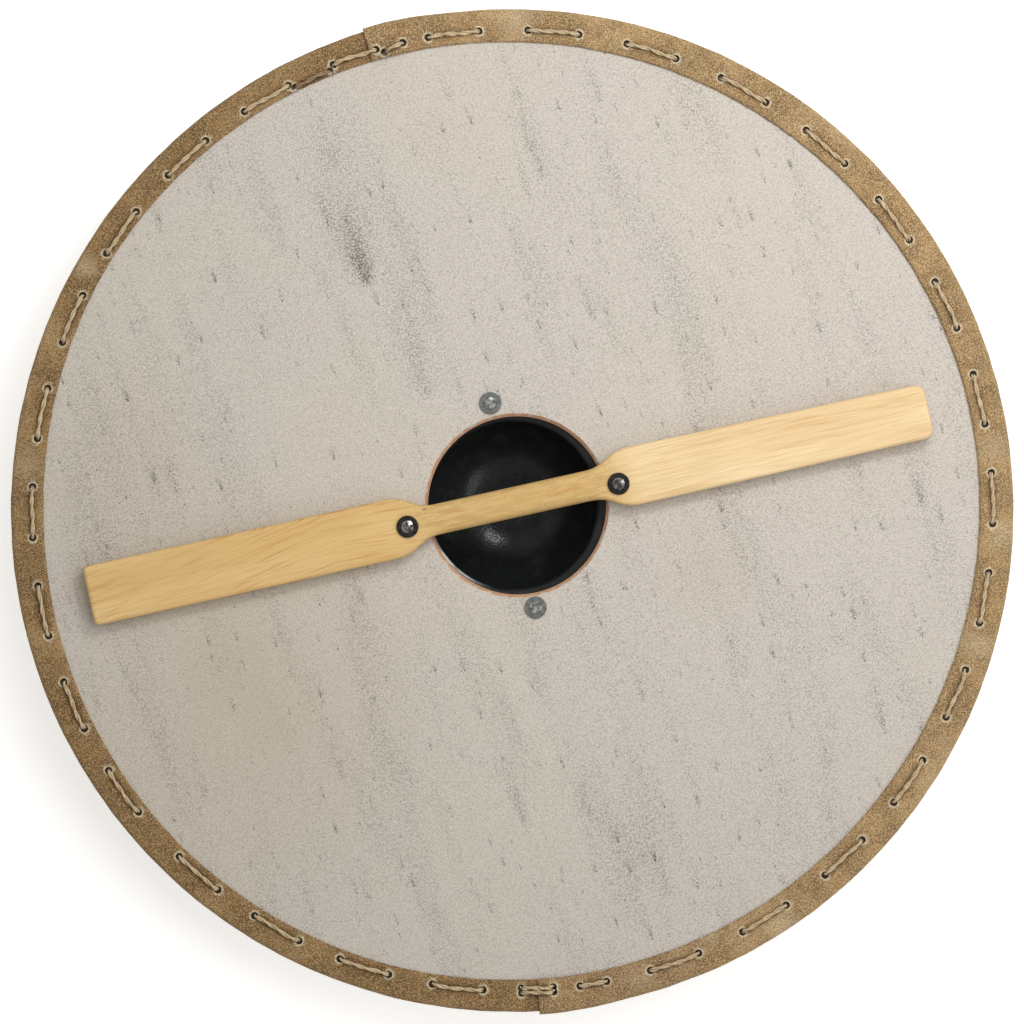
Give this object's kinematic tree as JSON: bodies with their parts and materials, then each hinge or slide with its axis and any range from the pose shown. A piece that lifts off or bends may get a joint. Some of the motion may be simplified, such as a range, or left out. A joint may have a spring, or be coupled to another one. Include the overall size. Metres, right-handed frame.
{
  "type": "wooden round shield",
  "caption": "Round wooden shield with a domed steel boss, a hardwood grip across the hand hole and a laced hide edge, lying face down on its boss.",
  "frame": {"origin": "centre of the boss's flat crown, on which the shield lies", "axes": "+Z out of the shield's back, the side that is held; X along the grip; Y along the grain of the board"},
  "size_m": [0.82, 0.822, 0.1013],
  "materials": {
    "washed_board": "matt pale grey wash over plywood",
    "edge_hide": "rough brown suede hide",
    "lacing_twine": "two-ply tan twine",
    "grip_wood": "smooth pale hardwood, oiled",
    "boss_black": "gloss black paint over steel",
    "zinc_steel": "dull zinc, hammered bright on the rivet ends",
    "blackened_steel": "blackened steel"
  },
  "bodies": {
    "root": {"shield_board": "washed_board", "rim_hide_left": "edge_hide", "rim_hide_right": "edge_hide", "edge_lacing": "lacing_twine", "boss": "boss_black", "grip": "grip_wood", "rivet_grip_right": "zinc_steel", "rivet_grip_left": "zinc_steel", "rivet_board_top": "zinc_steel", "rivet_board_bottom": "zinc_steel", "washer_grip_right": "blackened_steel", "washer_grip_left": "blackened_steel", "washer_board_top": "zinc_steel", "washer_board_bottom": "zinc_steel"}
  },
  "joints": []
}
